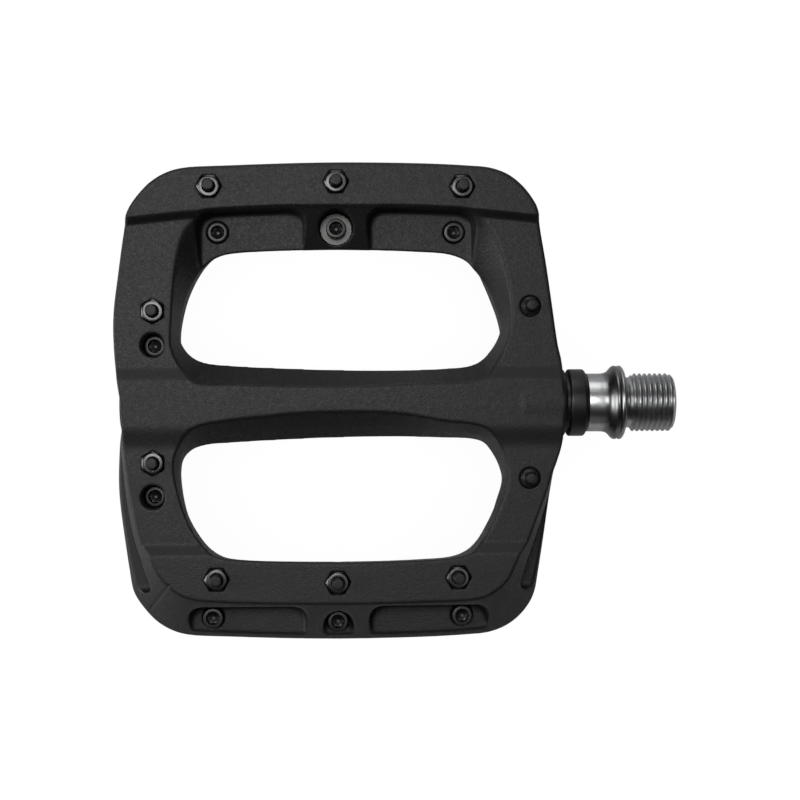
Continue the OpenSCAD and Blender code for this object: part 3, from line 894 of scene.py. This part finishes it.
sc_f, sc_r, sc_s = screw(FRONT_TIP), screw(REAR_TIP), screw(SIDE_TIP)
nt_f, nt_r, nt_s = nut(RAIL_Z, 0), nut(REAR_Z, 0), nut(DISH_Z, 30)
st = stud(DISH_Z)
for prefix, flip, names in (("top", False, ("front", "rear")), ("bottom", True, ("rear", "front"))):
    merge(f"{prefix}_{names[0]}_pin_screws", [(sc_f, x, y, flip) for x, y in FRONT_PINS], "platform", f"{prefix}_{names[0]}_screws", M["pin"])
    merge(f"{prefix}_{names[1]}_pin_screws", [(sc_r, x, y, flip) for x, y in REAR_PINS], "platform", f"{prefix}_{names[1]}_screws", M["pin"])
    merge(f"{prefix}_side_pin_screws", [(sc_s, x, y, flip) for x, y in SIDE_PINS], "platform", f"{prefix}_side_screws", M["pin"])
    merge(f"{prefix}_{names[0]}_pin_nuts", [(nt_f, x, y, flip) for x, y in FRONT_PINS], "platform", f"{prefix}_{names[0]}_nuts", M["nut"])
    merge(f"{prefix}_{names[1]}_pin_nuts", [(nt_r, x, y, flip) for x, y in REAR_PINS], "platform", f"{prefix}_{names[1]}_nuts", M["nut"])
    merge(f"{prefix}_side_pin_nuts", [(nt_s, x, y, flip) for x, y in SIDE_PINS], "platform", f"{prefix}_side_nuts", M["nut"])
    merge(f"{prefix}_stud_pins", [(st, x, y, flip) for x, y in STUD_PINS], "platform", f"{prefix}_studs", M["pin"])
ws = washer(REAR_TIP - 10.0, 0.5, 1.6, 3.85)
merge("pin_head_washers", [(ws, *REAR_PINS[1], False), (ws, *REAR_PINS[1], True)], "platform", "pin_washers", M["washer"])


# ---------------------------------------------------------------- spindle, collar and end cap, turned about X
def along_x(b):
    """A piece built about Z is laid along X: height becomes X."""
    b.v = [(c, a, d) for a, d, c in b.v]
    return b


def lathe(b, prof, m):
    """Skins of a profile of (x, r) about Z, with height x."""
    an = angles(m)
    ids = [b.ring([(r * math.cos(a), r * math.sin(a), x) for a in an]) for x, r in prof]
    for p, c in zip(ids, ids[1:]):
        b.skin(p, c)
    return ids


HAND = -1          # left-hand crank thread
TL = 11.7
PITCH = 1.27


def spindle():
    b = Build()
    m = 120
    an = angles(m)

    def env(x):
        return min(7.145, 6.2 + max(0.0, x - 1.2) * 1.3, 6.35 + (TL - x) * 1.1)
    lo, hi = helix_skin(b, PITCH, 1.2, TL, vee(7.145, 0.72, 0.12, 0.16), env, m, 12, HAND)
    prof = [(-119.3, 2.1), (-118.9, 2.45), (-114.55, 2.45), (-114.5, 2.98), (-104.6, 2.98), (-104.6, 3.7), (-103.6, 3.6), (-40, 4.3),
            (-33, 4.98), (-14.7, 5.0), (-14.7, 6.2), (-9.6, 6.2), (-9.6, 7.05), (-9.56, 7.12), (-9.48, 7.15), (-6.3, 7.15), (-5.6, 7.2),
            (-5.0, 7.32), (-4.55, 7.52), (-4.2, 7.78), (-3.9, 8.1), (-3.6, 8.45), (-3.35, 8.72), (-3.1, 8.92), (-2.85, 9.04), (-2.6, 9.08), (-2.35, 9.04),
            (-2.15, 8.93), (-2.05, 8.82), (-1.98, 8.78), (-1.9, 8.82), (-1.78, 8.95), (-1.6, 9.06), (-1.4, 9.1), (-1.2, 9.07),
            (-1.0, 8.95), (-0.8, 8.7), (-0.6, 8.3), (-0.42, 7.75), (-0.25, 7.1), (-0.12, 6.65), (0.05, 6.35), (0.3, 6.22), (0.7, 6.2)]
    ids = lathe(b, prof, m)
    b.fan(ids[0], (0, 0, -119.3), flip=True)
    b.skin(ids[-1], lo)
    # end face and hexagon socket
    ends = [[(6.05 * math.cos(a), 6.05 * math.sin(a), TL + 0.0) for a in an],
            [(5.25 * math.cos(a), 5.25 * math.sin(a), TL - 0.02) for a in an],
            [(4.78 * math.cos(a), 4.78 * math.sin(a), TL - 0.3) for a in an],
            [(hex_r(a, 8.1) * math.cos(a), hex_r(a, 8.1) * math.sin(a), TL - 0.62) for a in an],
            [(hex_r(a, 8.0) * math.cos(a), hex_r(a, 8.0) * math.sin(a), TL - 0.8) for a in an],
            [(hex_r(a, 8.0) * math.cos(a), hex_r(a, 8.0) * math.sin(a), TL - 8.0) for a in an],
            [(3.4 * math.cos(a), 3.4 * math.sin(a), TL - 8.1) for a in an]]
    prev = hi
    for e in ends:
        r = b.ring(e)
        b.skin(prev, r)
        prev = r
    b.fan(prev, (0, 0, TL - 9.4))
    return along_x(b)


sp = spindle()
# the axes were permuted cyclically, so every face keeps its side
new_mesh("spindle_turned", sp.v, sp.f, angle=38, body="spindle", node="spindle", mat=M["spindle"])

col = Build()
prof = [(-15.1, 6.24), (-15.1, 6.76), (-15.06, 6.8), (-14.22, 6.8), (-14.2, 6.84), (-14.2, 7.9), (-14.16, 8.05), (-14.05, 8.17), (-13.88, 8.23),
        (-13.6, 8.25), (-10.8, 8.25), (-10.56, 8.22), (-10.36, 8.12), (-10.2, 7.96), (-9.92, 7.5), (-9.8, 7.28), (-9.72, 7.1), (-9.69, 6.85), (-9.69, 6.24)]
ids = lathe(col, prof, 120)
col.skin(ids[-1], ids[0])
along_x(col)
new_mesh("dust_collar_ring", col.v, col.f, angle=40, body="spindle", node="dust_collar", mat=M["collar"])

cap = Build()
m = 96
an = angles(m)
prof = [(-119.6, 5.9), (-121.4, 5.9), (-121.45, 6.95), (-122.8, 6.95), (-123.02, 6.88), (-123.14, 6.74), (-123.2, 6.5), (-123.2, 5.1), (-123.1, 4.95), (-122.95, 4.85), (-122.9, 4.6), (-122.9, 3.9)]
ids = lathe(cap, prof[::-1], m)
inner = ids[0]
prev = inner
for f, x in ((lambda a: hex_r(a, 6.2), -122.8), (lambda a: hex_r(a, 6.0), -122.6), (lambda a: hex_r(a, 6.0), -120.6), (lambda a: 2.0, -120.5)):
    r = cap.ring([(f(a) * math.cos(a), f(a) * math.sin(a), x) for a in an])
    cap.skin(prev, r, flip=True)
    prev = r
cap.fan(prev, (0, 0, -120.5), flip=True)
cap.fan(ids[-1], (0, 0, -119.6))
along_x(cap)
new_mesh("bearing_end_cap", cap.v, cap.f, angle=35, body="platform", node="end_cap", mat=M["cap"])

# ---------------------------------------------------------------- CAD nodes that stay get their finish
KEEP = {
    "bushing": "bushing", "lip_seal": "seal", "end_cap_oring": "seal",
    "inner_bearing_outer_ring": "bearing", "outer_bearing_outer_ring": "bearing",
    "inner_bearing_inner_ring": "bearing", "outer_bearing_inner_ring": "bearing",
    "inner_bearing_shields": "seal", "outer_bearing_shields": "seal",
    "inner_bearing_balls": "ball", "outer_bearing_balls": "ball",
    "inner_bearing_cage": "cage", "outer_bearing_cage": "cage",
    "spindle_washer": "washer", "lock_nut": "locknut"}
for name, key in KEEP.items():
    ob = NODES[name]
    if not ob.material_slots:
        ob.data.materials.append(M[key])
    for s in ob.material_slots:
        s.material = M[key]

# ---------------------------------------------------------------- floor, light
FLOOR_Z = -12.7 * MM - 0.0001
bpy.ops.mesh.primitive_plane_add(size=6.0, location=(-0.07, 0, FLOOR_Z))
floor = bpy.context.object
floor.name = "studio_floor"
fm, nt, b = mat_new("studio_floor")
out = nt.nodes["Material Output"]
lp = nt.nodes.new("ShaderNodeLightPath")
em = nt.nodes.new("ShaderNodeEmission")
em.inputs["Color"].default_value = (1, 1, 1, 1)
# painted shade: for camera rays the floor glows white, dimmed by ambient occlusion into a soft contact shadow near the
# pedal
ao = nt.nodes.new("ShaderNodeAmbientOcclusion")
ao.samples = 8
ao.inputs["Distance"].default_value = 0.03
painted_contact_shade = vmap(nt, ao.outputs["AO"], 0.95, 1.03, 0.0, 1.0)
nt.links.new(painted_contact_shade, em.inputs["Strength"])
b.inputs["Base Color"].default_value = (0.85, 0.85, 0.86, 1)
b.inputs["Roughness"].default_value = 0.9
b.inputs["Specular IOR Level"].default_value = 0.0
mx = nt.nodes.new("ShaderNodeMixShader")
nt.links.new(lp.outputs["Is Camera Ray"], mx.inputs["Fac"])
nt.links.new(b.outputs["BSDF"], mx.inputs[1])
nt.links.new(em.outputs["Emission"], mx.inputs[2])
nt.links.new(mx.outputs["Shader"], out.inputs["Surface"])
floor.data.materials.append(fm)


def area(name, pos, target, size, power, color=(1, 1, 1)):
    d = bpy.data.lights.new(name, "AREA")
    d.shape = "RECTANGLE"
    d.size, d.size_y = size
    d.energy = power
    d.color = color
    ob = bpy.data.objects.new(name, d)
    bpy.context.scene.collection.objects.link(ob)
    ob.location = pos
    ob.rotation_euler = (Vector(target) - Vector(pos)).to_track_quat("-Z", "Y").to_euler()
    return ob


def soft(name, pos, target, size, radiance, color=(1, 1, 1)):
    """A softbox of a stated radiance."""
    return area(name, pos, target, size, radiance * math.pi * size[0] * size[1], color)


AIM = (-0.07, 0.0, 0.0)
soft("key_overhead", (-0.18, 0.10, 0.65), (-0.18, 0.10, 0.0), (0.24, 0.20), 9.0)
soft("crank_side_strip", (0.12, 0.06, 0.65), (0.12, 0.06, 0.0), (0.16, 0.50), 1.45)
soft("left_softbox", (-0.7357, 0.0, 0.2163), AIM, (0.34, 0.36), 5.6)
soft("rear_softbox", (-0.07, 0.6657, 0.2163), AIM, (0.34, 0.34), 1.9)
soft("rear_high", (-0.07, 0.5516, 0.431), AIM, (0.34, 0.34), 0.7)
soft("left_high", (-0.6216, 0.0, 0.431), AIM, (0.34, 0.34), 0.8)
soft("front_fill", (-0.07, -0.6657, 0.2163), AIM, (0.34, 0.34), 0.12)

world = bpy.data.worlds.new("studio")
bpy.context.scene.world = world
world.use_nodes = True
world.node_tree.nodes["Background"].inputs["Color"].default_value = (1, 1, 1, 1)
world.node_tree.nodes["Background"].inputs["Strength"].default_value = 0.01
bpy.context.scene.view_settings.view_transform = "Standard"
